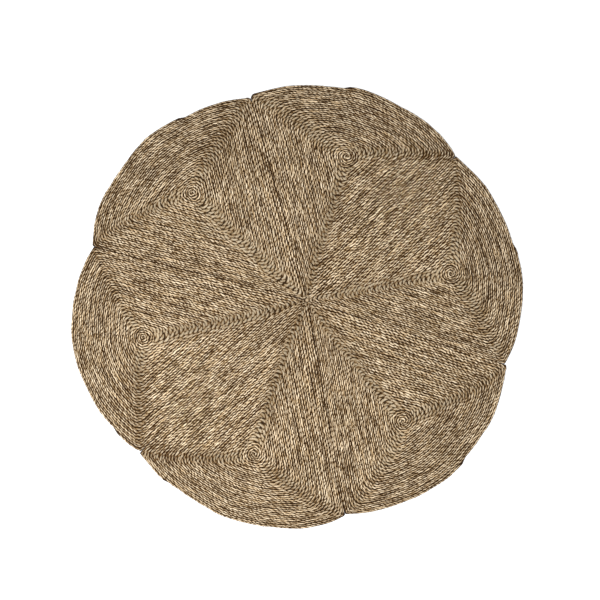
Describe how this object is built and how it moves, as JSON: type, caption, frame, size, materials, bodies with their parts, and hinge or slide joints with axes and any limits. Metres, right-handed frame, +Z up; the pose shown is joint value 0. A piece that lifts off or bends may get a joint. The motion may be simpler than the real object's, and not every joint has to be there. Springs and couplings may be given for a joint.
{
  "type": "round rug",
  "caption": "Flat round rug of twisted seagrass rope, coiled into wedge-shaped petals that meet at an off-centre hub, with a softly scalloped rim.",
  "frame": {"origin": "middle of the rug's bounding box, on the floor plane under the rug", "axes": "+Z up out of the top face, +Y towards the top of the rug as pictured from above, +X to its right"},
  "size_m": [1.5004, 1.4772, 0.007],
  "materials": {
    "petal_right": "matt twisted dry seagrass, brown beige",
    "petal_upper_right": "matt twisted dry seagrass, slightly darker and greyer",
    "petal_upper_left": "matt twisted dry seagrass, brown beige",
    "petal_left": "matt twisted dry seagrass, slightly lighter",
    "petal_lower_left": "matt twisted dry seagrass, slightly lighter",
    "petal_lower_right": "matt twisted dry seagrass, brown beige"
  },
  "bodies": {
    "root": {"petal_right": "petal_right", "petal_upper_right": "petal_upper_right", "petal_upper_left": "petal_upper_left", "petal_left": "petal_left", "petal_lower_left": "petal_lower_left", "petal_lower_right": "petal_lower_right"}
  },
  "joints": []
}
